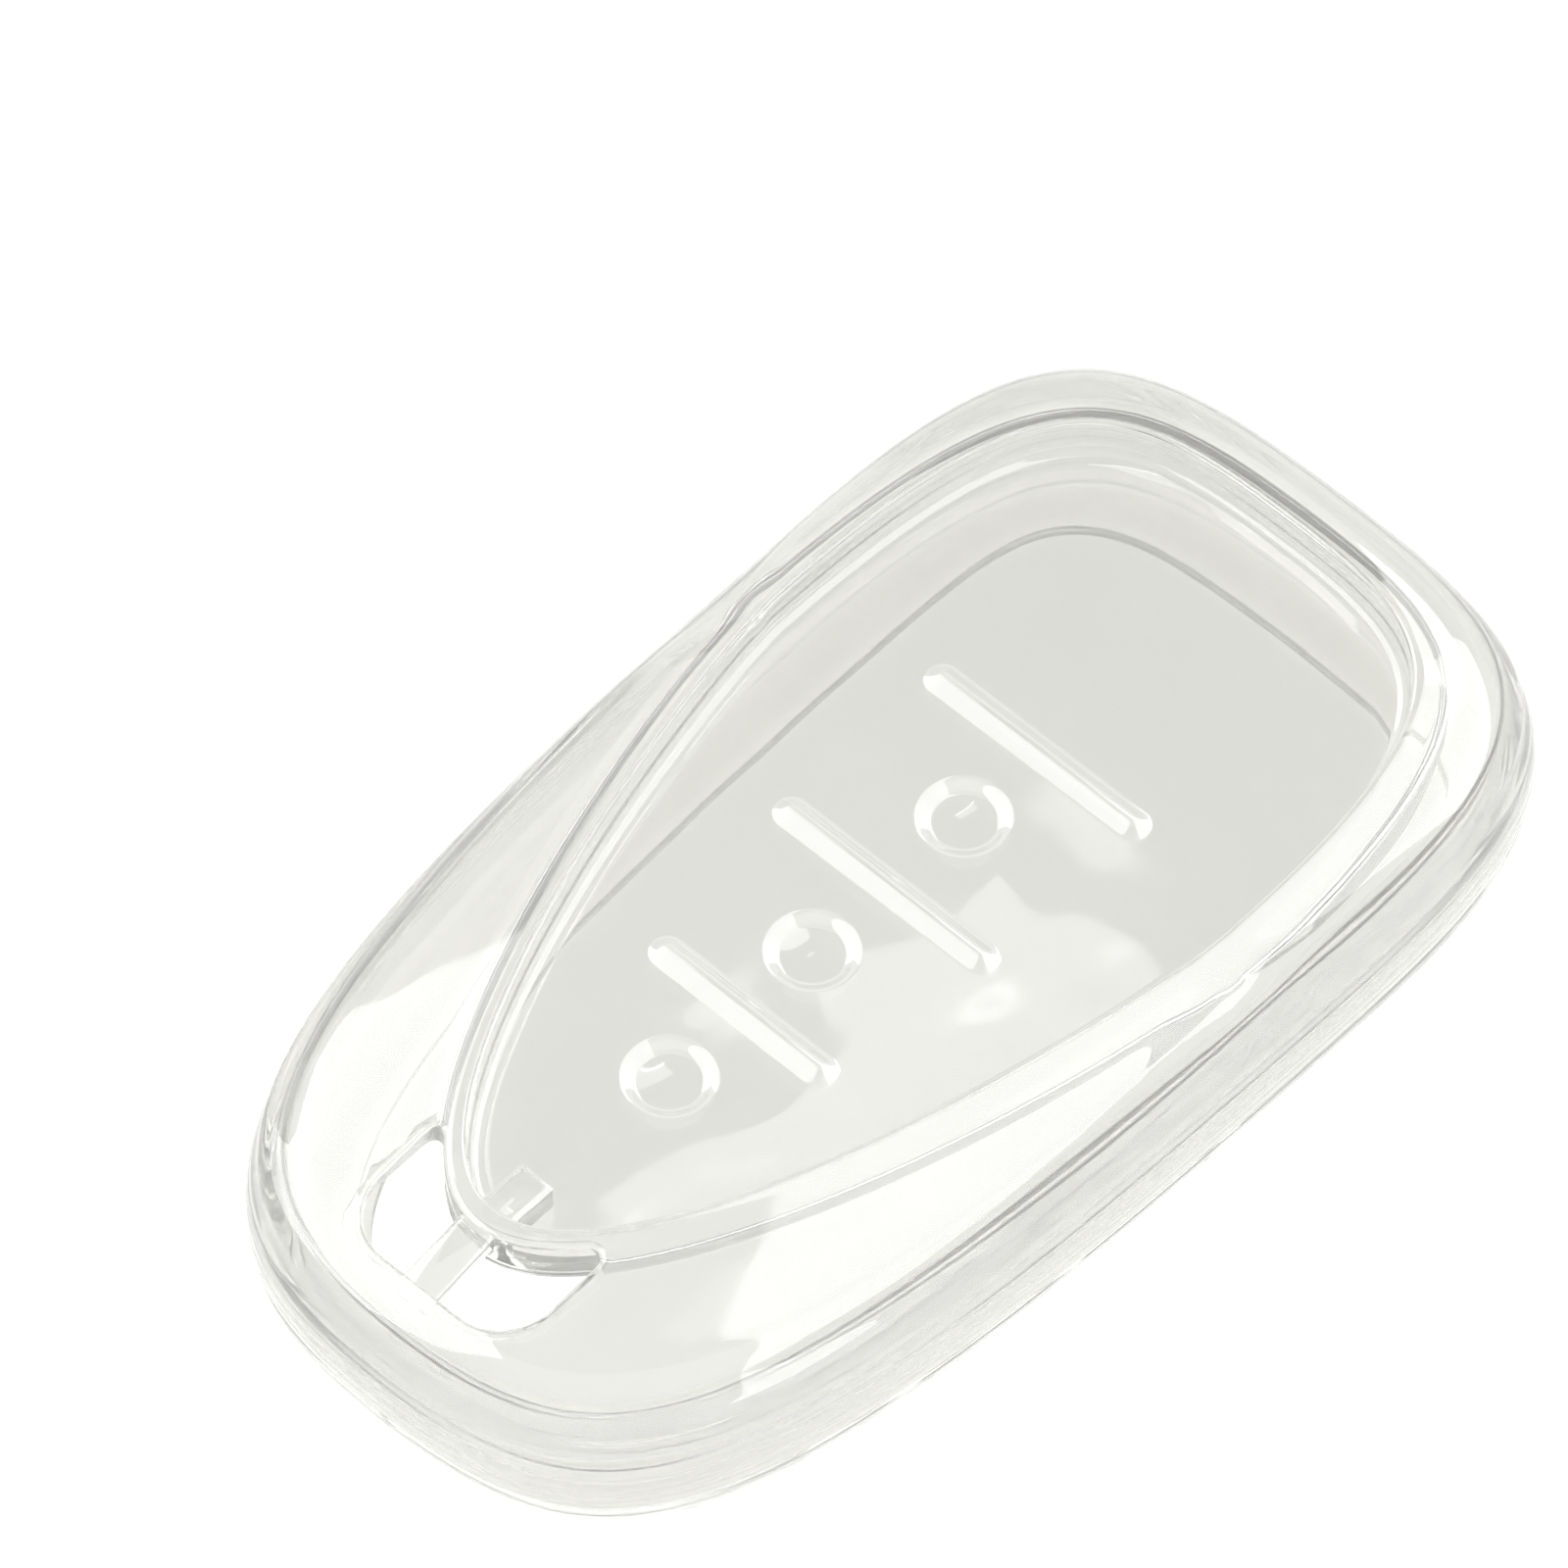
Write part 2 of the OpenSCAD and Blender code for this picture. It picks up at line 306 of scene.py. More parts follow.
# Heights down the outside of the wall, each with how far the wall is drawn in there
def wallProfile():
    girth, line, depth = cover["girth"], cover["mouldLineHalf"], cover["mouldLineDepth"]
    count = steps["wall"]
    heights = [girth + (cover["crownFoot"] - girth) * k / count for k in range(count, -1, -1)]
    heights += [girth * (1 - sine) for sine, cosine in fillet(steps["foot"], 9, 81)]
    for middle in cover["mouldLines"]:
        heights = [z for z in heights if abs(z - middle) > 1.5 * line]
    profile = [(z, drawInAt(z)) for z in heights]
    for middle in cover["mouldLines"]:
        for z, dent in ((middle + line, 0), (middle, depth), (middle - line, 0)):
            profile.append((z, drawInAt(z) + dent))
    return sorted(profile, reverse=True)


# Shares of the panel's edge at which its rings lie, from a small cap in the middle outwards
def panelShares():
    return [0.02] + [k / steps["panel"] for k in range(1, steps["panel"])]


# Over the panel, up the wall of the recess and out over the rim
def frontLevels():
    floor, draft = recess["floor"], recess["draft"]
    foot, edge = recess["footRadius"], recess["edgeRadius"]
    inner = outline(recess, -foot - draft)
    levels = [(shrinkLoop(inner, share), floor) for share in panelShares()]
    for sine, cosine in fillet(steps["edge"]):
        levels.append((outline(recess, -draft - foot * (1 - sine)), floor + foot * (1 - cosine)))
    innerRim = outline(recess, edge)
    spans = [(p - q).length for p, q in zip(innerRim, outline(cover))]
    rimHeights = [crownHeight(span, span) for span in spans]
    for sine, cosine in fillet(steps["edge"]):
        points = outline(recess, edge * (1 - cosine))
        levels.append((points, [z - edge * (1 - sine) for z in rimHeights]))
    return levels + crownLevels(innerRim)


# In under the foot, round the back opening and over the lip to the step
def lipLevels():
    top, edge, count = lipHigh.z, opening["edgeRadius"], 5
    outerFoot = outline(cover, -cover["footDrawIn"] - cover["footRounding"])
    innerFoot = outline(opening, edge)
    levels = [(mixLoops(outerFoot, innerFoot, k / count), 0.0) for k in range(count)]
    for sine, cosine in fillet(steps["lip"]):
        levels.append((outline(opening, edge * (1 - sine)), edge * (1 - cosine)))
    for sine, cosine in fillet(steps["lip"]):
        levels.append((outline(opening, edge * (1 - cosine)), top - edge * (1 - sine)))
    stepIn = cover["pocketInset"] + opening["ledgeWidth"]
    stepFoot = outline(cover, -stepIn - opening["ledgeRounding"])
    for k in range(1, count + 1):
        levels.append((mixLoops(innerFoot, stepFoot, k / count), top))
    return levels


# Up over the step on the lip and up the wall of the pocket to the height of the panel
def pocketLevels(under):
    pocket, high, rounding = cover["pocketInset"], ledgeHigh.z, opening["ledgeRounding"]
    stepIn = pocket + opening["ledgeWidth"]
    corner, count = cover["pocketCorner"], 8
    levels = [
        (outline(cover, -stepIn), lipHigh.z + rounding),
        (outline(cover, -stepIn), high - rounding),
        (outline(cover, -stepIn + rounding), high),
        (outline(cover, -pocket - corner), high),
        (outline(cover, -pocket), high + corner),
    ]
    for k in range(1, count):
        height = high + corner + (under - high - corner) * k / count
        levels.append((outline(cover, -pocket), height))
    return levels


# The skin's loops, from the middle of the panel out over the rim, down the wall,
# in round the lip, up the pocket and in to the middle of the panel's underside
def skinLevels():
    under = panelLow.z
    levels = frontLevels()
    for height, drawIn in wallProfile():
        levels.append((outline(cover, -drawIn), height))
    levels += lipLevels() + pocketLevels(under) + hollowLevels(under)
    underside = outline(recess, recess["wall"] - hollow["cornerRadius"])
    for share in reversed(panelShares()):
        levels.append((shrinkLoop(underside, share), under))
    return levels


# Up the outer side of the hollow under the rim, across its roof and down round the recess
def hollowLevels(under):
    roof, corner = hollow["roof"], hollow["cornerRadius"]
    back = outline(recess, recess["wall"])
    roofEdge = outline(recess, recess["wall"] + corner)
    pocket = outline(cover, -cover["pocketInset"])
    levels = []
    for sine, cosine in fillet(steps["hollow"], 3, 90):
        points = mixLoops(pocket, roofEdge, 1 - cosine)
        heights = []
        for point, wall in zip(points, pocket):
            share = max(0.0, 1 - (point - wall).length / hollow["drawIn"])
            heights.append(under + (roof - under) * math.sqrt(1 - share * share))
        levels.append((points, heights))
    for sine, cosine in fillet(steps["edge"], 18, 90):
        levels.append((mixLoops(roofEdge, back, sine), [z - corner * (1 - cosine) for z in heights]))
    for share in (0.25, 0.5, 0.75):
        levels.append((back, [(z - corner) * (1 - share) + (under + corner) * share for z in heights]))
    for sine, cosine in fillet(steps["lip"]):
        points = outline(recess, recess["wall"] - corner * (1 - cosine))
        levels.append((points, under + corner * (1 - sine)))
    return levels


def applyModifier(piece, modifier):
    bpy.context.view_layer.objects.active = piece
    with bpy.context.temp_override(object=piece, active_object=piece):
        bpy.ops.object.modifier_apply(modifier=modifier.name)


def combine(piece, other, operation):
    modifier = piece.modifiers.new(operation, "BOOLEAN")
    modifier.operation = operation
    modifier.object = other
    modifier.solver = "EXACT"
    applyModifier(piece, modifier)
    bpy.data.objects.remove(other)


ringHole = {
    "leftX": strapLow.x + 0.3,
    "half": bridgeHigh.y,
    "cornerRadius": 3.6,
    "cuspRadius": 1.3,
    "topFlare": 0.45,
    "bottomFlare": 0.25,
}


# The D-shaped outline of the key ring hole, its curved side along the bridge
def ringHoleLoop():
    half = ringHole["half"]
    side = [p for p in outline(recess, recess["wall"]) if p.x < 0 and abs(p.y) < half]
    side.sort(key=lambda p: p.y)
    bm = bmesh.new()
    corners = [bm.verts.new((ringHole["leftX"], y, 0)) for y in (half, -half)]
    cusps = [bm.verts.new((p.x, y, 0)) for p, y in ((side[0], -half), (side[-1], half))]
    curve = [bm.verts.new((p.x, p.y, 0)) for p in side[1:-1]]
    bm.faces.new(corners + [cusps[0]] + curve + [cusps[1]])
    for verts, radius, count in ((corners, "cornerRadius", 12), (cusps, "cuspRadius", 8)):
        bmesh.ops.bevel(
            bm, geom=verts, offset=ringHole[radius], offset_type="OFFSET", affect="VERTICES",
            segments=count, profile=0.5, material=-1,
        )
    face = max(bm.faces, key=lambda f: f.calc_area())
    face.normal_update()
    points = [v.co.to_2d() for v in face.verts]
    if face.normal.z < 0:
        points.reverse()
    bm.free()
    return points


def ringHoleCutter():
    loop = ringHoleLoop()
    under, past = hollow["roof"], 1.0  # how far the cutter runs past the skin
    flare, low = ringHole["topFlare"], ringHole["bottomFlare"]
    tops = [rimHeightAt(p) for p in loop]
    levels = [(letOut(loop, low), under - past)]
    for sine, cosine in fillet(steps["edge"], 80, 0):
        levels.append((letOut(loop, low * (1 - cosine)), under + low * (1 - sine)))
    for sine, cosine in fillet(steps["flare"], 0, 82):
        levels.append((letOut(loop, flare * (1 - cosine)), [z - flare * (1 - sine) for z in tops]))
    levels.append((letOut(loop, flare), cover["top"] + past))
    return objectFrom(loft(levels), "ringHoleCutter")


# A box between two corners with its edges rounded over
def roundedBlock(low, high, radius, name):
    bm = bmesh.new()
    bmesh.ops.create_cube(bm, size=1)
    bmesh.ops.scale(bm, vec=high - low, verts=bm.verts)
    bmesh.ops.translate(bm, vec=(low + high) / 2, verts=bm.verts)
    bmesh.ops.bevel(
        bm, geom=bm.edges[:], offset=radius, affect="EDGES",
        segments=steps["rounding"], profile=0.5, material=-1,
    )
    return objectFrom(bm, name)


# The outline of a bar, two half circles joined by straight sides
def stadium(centre, reach, radius, count=14):
    points = []
    for side in (1, -1):
        for k in range(count + 1):
            angle = math.pi * k / count + (0 if side > 0 else math.pi)
            spot = Vector((math.cos(angle) * radius, side * reach + math.sin(angle) * radius))
            points.append(centre + spot)
    return points


bars = {
    "nodes": ("lower_separator_bar", "middle_separator_bar", "upper_separator_bar"),
    "sink": 0.3,  # how far a bar's foot runs into the panel before they are joined
    "spread": 1.15,  # how much wider than its node a bar's soft foot is
    "levels": 11,
    "straight": 0.35,  # share of a bar's rise that is an even slope, the rest being soft
    "footCrease": math.radians(12),  # a foot steeper than this keeps its crease
}


# A raised bar with soft sides and a rounded crest
def separatorBar(node):
    low, high = nodeBox(node)
    centre = Vector(((low.x + high.x) / 2, 0))
    radius, height = (high.x - low.x) / 2, high.z - recess["floor"]
    reach = high.y - radius
    foot = radius * bars["spread"]
    levels = [(stadium(centre, reach, foot), recess["floor"] - bars["sink"])]
    for k in range(bars["levels"]):
        share = k / bars["levels"]
        rise = height * (bars["straight"] * share + (1 - bars["straight"]) * smoothShare(share))
        levels.append((stadium(centre, reach, foot * (1 - share)), recess["floor"] + rise))
    return objectFrom(loft(levels), node)


pads = {
    "nodes": ("lower_button_pad", "middle_button_pad", "upper_button_pad"),
    "webs": ("lower_pad_web", "middle_pad_web", "upper_pad_web"),
    "bodies": ("lower_button", "middle_button", "upper_button"),
    "dishes": (0.05, 0.12, 0.03),  # how deep each pad's face is dished
    "seam": 0.004,  # gap left round a web and a pad so that closed skins never touch
    "seamReach": 0.06,  # how near to a pad's or a web's radius a face counts as its seam
}


# A drum that cuts the hole for a pad and its web
def roundCutter(centre, radius, low, high):
    bm = bmesh.new()
    bmesh.ops.create_cone(
        bm, cap_ends=True, segments=steps["turned"], radius1=radius, radius2=radius, depth=high - low,
        matrix=Matrix.Translation((centre.x, centre.y, (low + high) / 2)),
    )
    return objectFrom(bm, "padCutter")


# How the soft skin strays from true, in mm. The shifts keep the waves apart.
skinWaves = {
    "spread": 11.0,
    "depth": 0.048,
    "shift": (3.1, 7.7, 0),
    "rippleFineness": 2.3,
    "rippleDepth": 0.0192,
    "rippleShift": (1.3, 2.9, 5),
    "underFineness": 0.9,
    "underDepth": 0.035,
    "underShift": (8.2, 1.4, 9),
    "panelAbove": 0.7,  # the panel's waves fade out from this height over it
    "panelBelow": 1.4,  # and from this depth under it
    "fade": 1.2,
    "wallSpread": 17.0,
    "wallDepth": 0.05,
    "wallShifts": ((2.3, 5.1, 0.7), (9.4, 1.8, 6.2), (4.6, 8.9, 3.5)),
    "onPanelShare": 0.7,  # how much of the wall's stray the panel is spared
    "footRun": 2.5,  # height over which the stray sets in, so that the foot lies flat
}


def waveAt(point, shift):
    return noise.noise(point + Vector(shift))


# How far the skin strays at a point, both in mm
def strayOf(point):
    waves, floor, under = skinWaves, recess["floor"], panelLow.z
    flat = Vector((point.x, point.y, 0)) / waves["spread"]
    upper = waveAt(flat, waves["shift"]) * waves["depth"]
    upper += waveAt(flat * waves["rippleFineness"], waves["rippleShift"]) * waves["rippleDepth"]
    lower = waveAt(flat * waves["underFineness"], waves["underShift"]) * waves["underDepth"]
    share = smoothShare((point.z - under) / (floor - under))
    onPanel = 1 - smoothShare((point.z - floor - waves["panelAbove"]) / waves["fade"])
    onPanel *= smoothShare((point.z - under + waves["panelBelow"]) / waves["fade"])
    rise = (upper * share + lower * (1 - share)) * onPanel
    place = point / waves["wallSpread"]
    wander = Vector([waveAt(place, shift) for shift in waves["wallShifts"]]) * waves["wallDepth"]
    wander *= smoothShare(point.z / waves["footRun"]) * (1 - onPanel * waves["onPanelShare"])
    return wander + Vector((0, 0, rise))


# Puts the second material on the upright faces that lie at a radius from a pad's axis
def markSeams(piece, centres, radii):
    for face in piece.data.polygons:
        middle = face.center / mm
        if abs(face.normal.z) < 0.3:
            spans = [(middle - centre).to_2d().length for centre in centres]
            if any(abs(span - radius) < pads["seamReach"] for span in spans for radius in radii):
                face.material_index = 1


# The edges along which the bars stand on the panel
def barFeet(mesh):
    bm = bmesh.new()
    bm.from_mesh(mesh)
    feet = [
        edge.index for edge in bm.edges
        if len(edge.link_faces) == 2 and edge.calc_face_angle() > bars["footCrease"]
        and all(abs(vert.co.z / mm - recess["floor"]) < 0.002 for vert in edge.verts)
    ]
    bm.free()
    return feet


def letStray(piece):
    for vertex in piece.data.vertices:
        vertex.co += strayOf(vertex.co / mm) * mm


# The strap across the key ring hole and its tab on the panel
strap = {"sink": 0.35, "rounding": 0.3}  # the sink is how far it runs into the skin
tab = {"sink": 0.35, "rounding": 0.35, "lowered": 0.35}


def strapBlock():
    sink = strap["sink"]
    low = Vector((strapLow.x - sink, strapLow.y, strapLow.z))
    high = Vector((bridgeLow.x + sink, strapHigh.y, strapHigh.z))
    block = roundedBlock(low, high, strap["rounding"], "strap")
    for vertex in block.data.vertices:
        vertex.co.z -= (cover["top"] - rimHeightAt(Vector((vertex.co.x / mm, 0)))) * mm
    return block


def tabBlock():
    sink = tab["sink"]
    low = Vector((tabLow.x - sink, tabLow.y, tabLow.z - sink))
    high = Vector((tabHigh.x, tabHigh.y, tabHigh.z - tab["lowered"]))
    return roundedBlock(low, high, tab["rounding"], "tab")


def makeSkin():
    skin = objectFrom(loft(skinLevels()), "clearShell")
    combine(skin, ringHoleCutter(), "DIFFERENCE")
    combine(skin, strapBlock(), "UNION")
    combine(skin, tabBlock(), "UNION")
    for node in bars["nodes"]:
        combine(skin, separatorBar(node), "UNION")
    for web in pads["webs"]:
        low, high = nodeBox(web)
        middle = (low + high) / 2
        combine(skin, roundCutter(middle, (high.x - low.x) / 2, low.z - 1, high.z + 1), "DIFFERENCE")
    feet = barFeet(skin.data)
    letStray(skin)
    shadeSoft(skin.data)
    for index in feet:
        skin.data.edges[index].use_edge_sharp = True
    return skin


# A solid of revolution about a pad's axis, from a closed profile of radius and height
def turned(profile, centre, name, closed):
    bm = bmesh.new()
    verts = [bm.verts.new((centre.x + r, centre.y, z)) for r, z in profile]
    edges = [bm.edges.new(pair) for pair in zip(verts, verts[1:])]
    if closed:
        edges.append(bm.edges.new((verts[-1], verts[0])))
    bmesh.ops.spin(
        bm, geom=edges, cent=(centre.x, centre.y, 0), axis=(0, 0, 1), angle=math.tau,
        steps=steps["turned"], use_merge=True,
    )
    bmesh.ops.remove_doubles(bm, verts=bm.verts, dist=1e-5)
    bmesh.ops.recalc_face_normals(bm, faces=bm.faces)
    piece = objectFrom(bm, name)
    letStray(piece)
    return piece


# The soft ring that slopes from the panel down to a pad
def padWeb(node, padNode):
    low, high = nodeBox(node)
    padLow, padHigh = nodeBox(padNode)
    outer = (high.x - low.x) / 2 - pads["seam"]
    inner = (padHigh.x - padLow.x) / 2 + pads["seam"]
    drop = high.z - padHigh.z
    profile = [(outer, low.z), (outer, high.z)]
    for k in range(1, steps["web"]):
        share = k / steps["web"]
        profile.append((outer + (inner - outer) * share, high.z - drop * smoothShare(share)))
    profile += [(inner, padHigh.z), (inner, low.z)]
    return turned(profile, (low + high) / 2, node + "_skin", True)


# A pad with a shallow dish in its face
def buttonPad(node, dish):
    low, high = nodeBox(node)
    radius = (high.x - low.x) / 2
    profile = [(0, low.z), (radius, low.z), (radius, high.z)]
    for k in range(1, steps["pad"] + 1):
        share = k / steps["pad"]
        profile.append((radius * (1 - share), high.z - dish * math.sin(share * math.pi / 2)))
    return turned(profile, (low + high) / 2, node + "_skin", False)


skin = makeSkin()
print("skin made:", len(skin.data.polygons), "faces")
webs = [padWeb(node, padNode) for node, padNode in zip(pads["webs"], pads["nodes"])]
discs = [buttonPad(node, dish) for node, dish in zip(pads["nodes"], pads["dishes"])]
print("webs and pads made")


def linear(code):
    values = [int(code[i:i + 2], 16) / 255 for i in (1, 3, 5)]
    return [v / 12.92 if v <= 0.04045 else ((v + 0.055) / 1.055) ** 2.4 for v in values] + [1.0]


def addNode(tree, kind, settings=(), inputs=()):
    item = tree.nodes.new(kind)
    for name, value in dict(settings).items():
        setattr(item, name, value)
    for name, value in dict(inputs).items():
        if isinstance(value, bpy.types.NodeSocket):
            tree.links.new(value, item.inputs[name])
        else:
            item.inputs[name].default_value = value
    return item


# A material with an empty tree
def emptyMaterial(name):
    material = bpy.data.materials.new(name)
    material.use_nodes = True
    material.node_tree.nodes.clear()
    return material, material.node_tree


plastic = {
    "tint": "#fafaf8",
    "shadowTint": "#e8e8e6",  # what a lamp's light keeps at each face on its way to the floor
    "joinTint": "#f6f6f4",
    "ior": 1.5,
    "clearness": 0.88,  # the rest is a faint haze, which gives the grey cast
    "cloudSize": 6.0,  # mm from one change of gloss to the next
    "roughness": (0.015, 0.05),
}


# Clear thermoplastic polyurethane, moulded against a polished tool: a water-clear soft
# plastic with a faint grey cast. It mirrors lamps sharply, bends what lies behind it, and
# the tool's polish leaves broad, very faint changes of gloss.
def clearPolyurethane(name):
    material, tree = emptyMaterial(name)
    place = addNode(tree, "ShaderNodeTexCoord")
    clouds = addNode(
        tree, "ShaderNodeTexNoise",
        inputs={"Vector": place.outputs["Object"], "Scale": 1 / (plastic["cloudSize"] * mm), "Detail": 2.0},
    )
    smooth, rough = plastic["roughness"]
    gloss = addNode(
        tree, "ShaderNodeMapRange",
        inputs={
            "Value": clouds.outputs["Fac"],
            "From Min": 0.3, "From Max": 0.7, "To Min": smooth, "To Max": rough,
        },
    )
    clear = addNode(
        tree, "ShaderNodeBsdfPrincipled",
        inputs={
            "Base Color": linear(plastic["tint"]), "Roughness": gloss.outputs["Result"],
            "IOR": plastic["ior"], "Transmission Weight": plastic["clearness"],
        },
    )
    rays = addNode(tree, "ShaderNodeLightPath")
    passed = addNode(tree, "ShaderNodeBsdfTransparent", inputs={"Color": linear(plastic["shadowTint"])})
    mixed = addNode(
        tree, "ShaderNodeMixShader",
        inputs={0: rays.outputs["Is Shadow Ray"], 1: clear.outputs["BSDF"], 2: passed.outputs["BSDF"]},
    )
    addNode(tree, "ShaderNodeOutputMaterial", inputs={"Surface": mixed.outputs["Shader"]})
    return material


# The cover is one moulding, so the upright faces where a pad, its web and the panel meet
# inside the plastic neither bend nor mirror light
def joinedPolyurethane():
    material, tree = emptyMaterial("joinedPolyurethane")
    join = addNode(
        tree, "ShaderNodeBsdfPrincipled",
        inputs={"Base Color": linear(plastic["joinTint"]), "Alpha": 0.0},
    )
    addNode(tree, "ShaderNodeOutputMaterial", inputs={"Surface": join.outputs["BSDF"]})
    return material


shellPlastic = clearPolyurethane("clearMouldedPolyurethane")
padPlastic = clearPolyurethane("clearMouldedPolyurethaneThin")
joinPlastic = joinedPolyurethane()
webBoxes = [nodeBox(node) for node in pads["webs"]]
padAxes = [(low + high) / 2 for low, high in webBoxes]
webRadius = (webBoxes[0][1].x - webBoxes[0][0].x) / 2
padRadius = (nodeBox(pads["nodes"][0])[1].x - nodeBox(pads["nodes"][0])[0].x) / 2

skin.data.materials.append(shellPlastic)
for piece in [skin] + webs + discs:
    if piece is not skin:
        piece.data.materials.append(padPlastic)
    piece.data.materials.append(joinPlastic)
    markSeams(piece, padAxes, (webRadius, padRadius))
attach(skin, "shell")
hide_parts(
    "front_rim", "front_panel", "side_wall", "back_lip", "lip_ledge", "key_ring_bridge",
    "key_ring_strap", "bridge_tab", *bars["nodes"],
)
for web, node, body in zip(webs, pads["webs"], pads["bodies"]):
    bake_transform(web)
    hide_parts(node)
for disc, node, body in zip(discs, pads["nodes"], pads["bodies"]):
    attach(disc, body)
    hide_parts(node)
print("materials set")

camera = {
    "aim": Vector((2.45, 9.05, 10.9)),  # the point in the middle of the picture
    "azimuth": -46.22,
    "elevation": 55.21,
    "roll": -0.62,
    "distance": 1213.2,
    "lens": 489.3,
}


def addCamera():
    azimuth, elevation = math.radians(camera["azimuth"]), math.radians(camera["elevation"])
    back = Vector((
        math.sin(azimuth) * math.cos(elevation),
        -math.cos(azimuth) * math.cos(elevation),
        math.sin(elevation),
    ))
    data = bpy.data.cameras.new("camera")
    data.lens = camera["lens"]
    data.sensor_width = 36
    data.clip_start, data.clip_end = 0.1, 10
    item = bpy.data.objects.new("camera", data)
    item.rotation_mode = "QUATERNION"
    item.location = (camera["aim"] + back * camera["distance"]) * mm
    level = (-back).to_track_quat("-Z", "Y")
    item.rotation_quaternion = level @ Quaternion((0, 0, 1), math.radians(camera["roll"]))
    scene.collection.objects.link(item)
    scene.camera = item


addCamera()


# A level or turned sheet of a given width in metres
def addSheet(name, width, material):
    bm = bmesh.new()
    bmesh.ops.create_grid(bm, x_segments=1, y_segments=1, size=width / 2)
    mesh = bpy.data.meshes.new(name)
    bm.to_mesh(mesh)
    bm.free()
    mesh.materials.append(material)
    sheet = bpy.data.objects.new(name, mesh)
    scene.collection.objects.link(sheet)
    return sheet


floorPaper = {
    "width": 6.0,  # metres
    "tint": "#acacaa",
    "lift": 0.7,  # what the camera sees added, to bring the paper up to white
    "liftMirrored": 0.75,  # the same for what is mirrored in the plastic
    "liftThrough": 0.3,  # the same for what is seen through the plastic
    "gap": 0.02,  # mm between the paper and the foot of the cover
}


# Pale matt paper, which is brought up to white for the camera but keeps the cover's shadow
def addFloor():
    material, tree = emptyMaterial("palePaper")
    paper = addNode(tree, "ShaderNodeBsdfDiffuse", inputs={"Color": linear(floorPaper["tint"])})
    rays = addNode(tree, "ShaderNodeLightPath")
    bent = addNode(
        tree, "ShaderNodeMapRange",
        inputs={
            "Value": rays.outputs["Is Transmission Ray"],
            "To Min": floorPaper["liftMirrored"], "To Max": floorPaper["liftThrough"],
        },
    )
    shown = addNode(
        tree, "ShaderNodeMath", {"operation": "MULTIPLY"},
        {0: rays.outputs["Is Glossy Ray"], 1: bent.outputs["Result"]},
    )
    strength = addNode(
        tree, "ShaderNodeMath", {"operation": "MULTIPLY_ADD"},
        {0: rays.outputs["Is Camera Ray"], 1: floorPaper["lift"], 2: shown.outputs["Value"]},
    )
    lift = addNode(tree, "ShaderNodeEmission", inputs={"Strength": strength.outputs["Value"]})
    both = addNode(
        tree, "ShaderNodeAddShader", inputs={0: paper.outputs["BSDF"], 1: lift.outputs["Emission"]},
    )
    addNode(tree, "ShaderNodeOutputMaterial", inputs={"Surface": both.outputs["Shader"]})
    floor = addSheet("floor", floorPaper["width"], material)
    floor.location.z = cadBox[0].z - floorPaper["gap"] * mm


# Black felt that hangs where a level face would mirror the sky towards the camera, as in
# the photo, where the panel keeps its grey
darkFlag = {"towards": (0.42, 0.41, 0.81), "distance": 1500, "width": 800, "tint": "#161616"}


def addFlag():
    material, tree = emptyMaterial("blackFelt")
    felt = addNode(tree, "ShaderNodeBsdfDiffuse", inputs={"Color": linear(darkFlag["tint"])})
    addNode(tree, "ShaderNodeOutputMaterial", inputs={"Surface": felt.outputs["BSDF"]})
    flag = addSheet("darkFlag", darkFlag["width"] * mm, material)
    direction = Vector(darkFlag["towards"]).normalized()
    flag.location = direction * darkFlag["distance"] * mm
    flag.rotation_mode = "QUATERNION"
    flag.rotation_quaternion = direction.to_track_quat("Z", "Y")
    flag.visible_camera = False
    flag.visible_diffuse = False
    flag.visible_shadow = False


sky = {
    "tint": "#ffffff",
    "strength": 0.56,
    "through": 1.45,  # the white surroundings, as seen through or mirrored in the plastic
}


def addSky():
    world = bpy.data.worlds.new("studio")
    world.use_nodes = True
    tree = world.node_tree
    tree.nodes.clear()
    rays = addNode(tree, "ShaderNodeLightPath")
    bent = addNode(
        tree, "ShaderNodeMath", {"operation": "MAXIMUM"},
        {0: rays.outputs["Is Glossy Ray"], 1: rays.outputs["Is Transmission Ray"]},
    )
    # light that paper takes in by way of the plastic stays at the plain level
    straight = addNode(
        tree, "ShaderNodeMath", {"operation": "LESS_THAN"}, {0: rays.outputs["Diffuse Depth"], 1: 0.5},
    )
    shown = addNode(
        tree, "ShaderNodeMath", {"operation": "MULTIPLY"},
        {0: bent.outputs["Value"], 1: straight.outputs["Value"]},
    )
    level = addNode(
        tree, "ShaderNodeMapRange",
        inputs={"Value": shown.outputs["Value"], "To Min": sky["strength"], "To Max": sky["through"]},
    )
    strength = addNode(
        tree, "ShaderNodeMath", {"operation": "MAXIMUM"},
        {0: rays.outputs["Is Camera Ray"], 1: level.outputs["Result"]},
    )
    light = addNode(
        tree, "ShaderNodeBackground",
        inputs={"Color": linear(sky["tint"]), "Strength": strength.outputs["Value"]},
    )
    addNode(tree, "ShaderNodeOutputWorld", inputs={"Surface": light.outputs["Background"]})
    scene.world = world


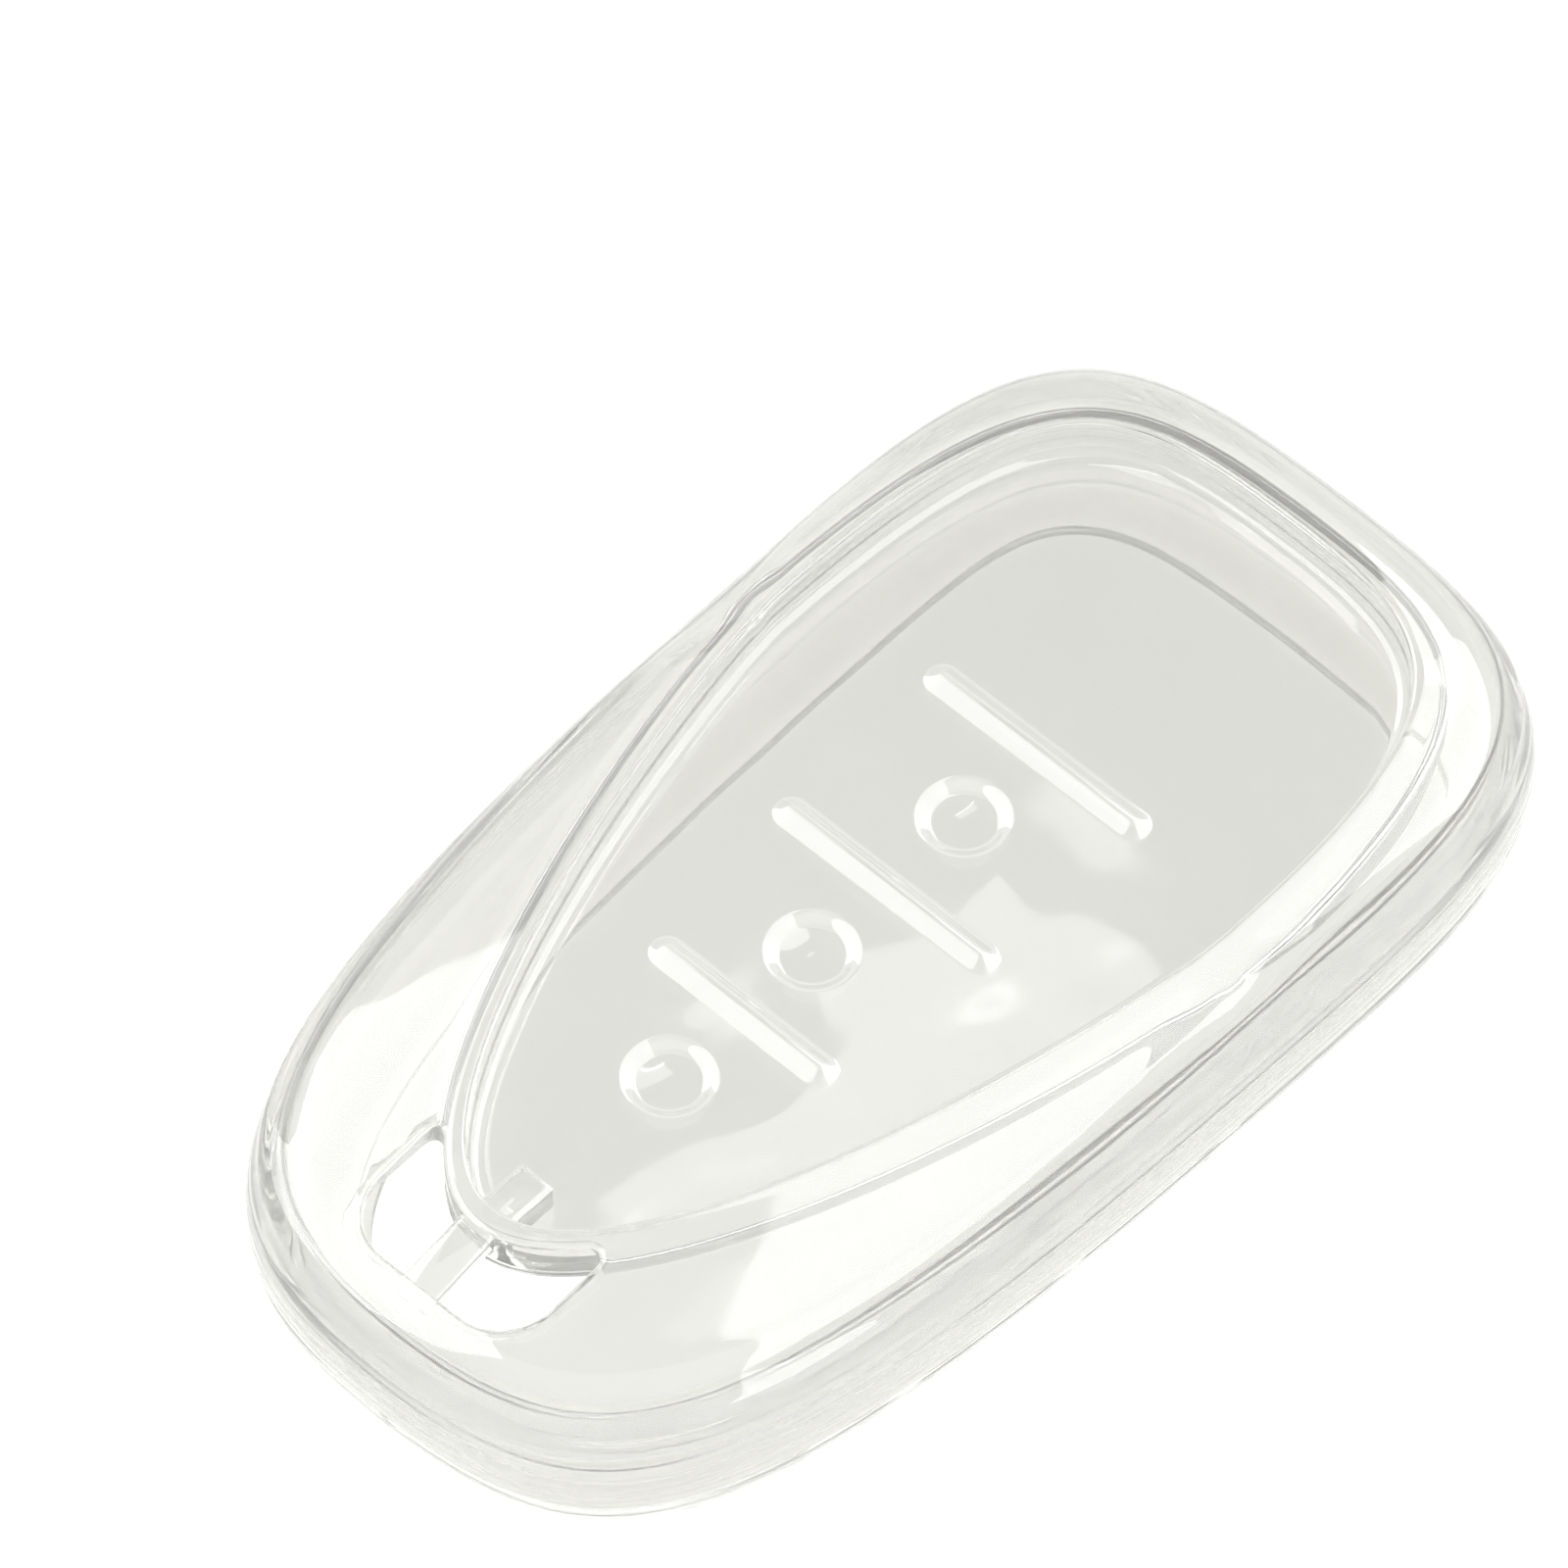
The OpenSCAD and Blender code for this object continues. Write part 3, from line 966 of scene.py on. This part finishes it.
# Soft boxes that face the cover: the direction and distance of each in mm, its width and
# height, its turn in degrees, how bright it looks, and how far it hangs below its direction.
# A mirrored one is only seen in the gloss of the plastic, and the others only light the
# paper and the haze.
softBoxes = {
    "keyLight": {
        "towards": (-0.55, -0.35, 0.75), "distance": 240, "size": (120, 120), "radiance": 5.0,
    },
    "fillLight": {
        "towards": (0.55, -0.6, 0.58), "distance": 600, "size": (300, 300), "radiance": 2.6,
    },
    # whitens the near rim from its slanted left end on, down to the turn of the wall
    "cardRight": {
        "towards": (0.455, -0.392, 0.80), "distance": 720, "size": (1080, 1065), "turn": 24,
        "radiance": 3.8, "drop": 250, "mirrored": True,
    },
    "cardCorner": {
        "towards": (0.76, 0.12, 0.64), "distance": 720, "size": (320, 320), "radiance": 5.0,
        "mirrored": True,
    },
    "cardBack": {
        "towards": (-0.36, 0.65, 0.66), "distance": 700, "size": (1010, 620), "radiance": 4.3,
        "mirrored": True,
    },
    # a small window and its sill, which the panel mirrors and its waves break up
    "windowPane": {
        "towards": (273, 257, 590), "distance": 700, "size": (46, 16), "turn": 41.7,
        "radiance": 2.6, "mirrored": True,
    },
    "windowSill": {
        "towards": (273, 248.5, 594), "distance": 700, "size": (48, 2.5), "turn": 41.7,
        "radiance": 9.0, "mirrored": True,
    },
}


def addSoftBox(name, box):
    data = bpy.data.lights.new(name, "AREA")
    data.shape = "RECTANGLE"
    data.size, data.size_y = box["size"][0] * mm, box["size"][1] * mm
    data.energy = box["radiance"] * math.pi * data.size * data.size_y
    item = bpy.data.objects.new(name, data)
    direction = Vector(box["towards"]).normalized()
    facing = direction.to_track_quat("Z", "Y")
    turn = facing @ Quaternion((0, 0, 1), math.radians(box.get("turn", 0)))
    item.rotation_mode = "QUATERNION"
    item.rotation_quaternion = turn
    item.location = (direction * box["distance"] - turn @ Vector((0, box.get("drop", 0), 0))) * mm
    mirrored = box.get("mirrored", False)
    item.visible_diffuse = not mirrored
    item.visible_glossy = mirrored
    item.visible_transmission = False
    scene.collection.objects.link(item)


addFloor()
addFlag()
addSky()
for name, box in softBoxes.items():
    addSoftBox(name, box)
print("studio set")
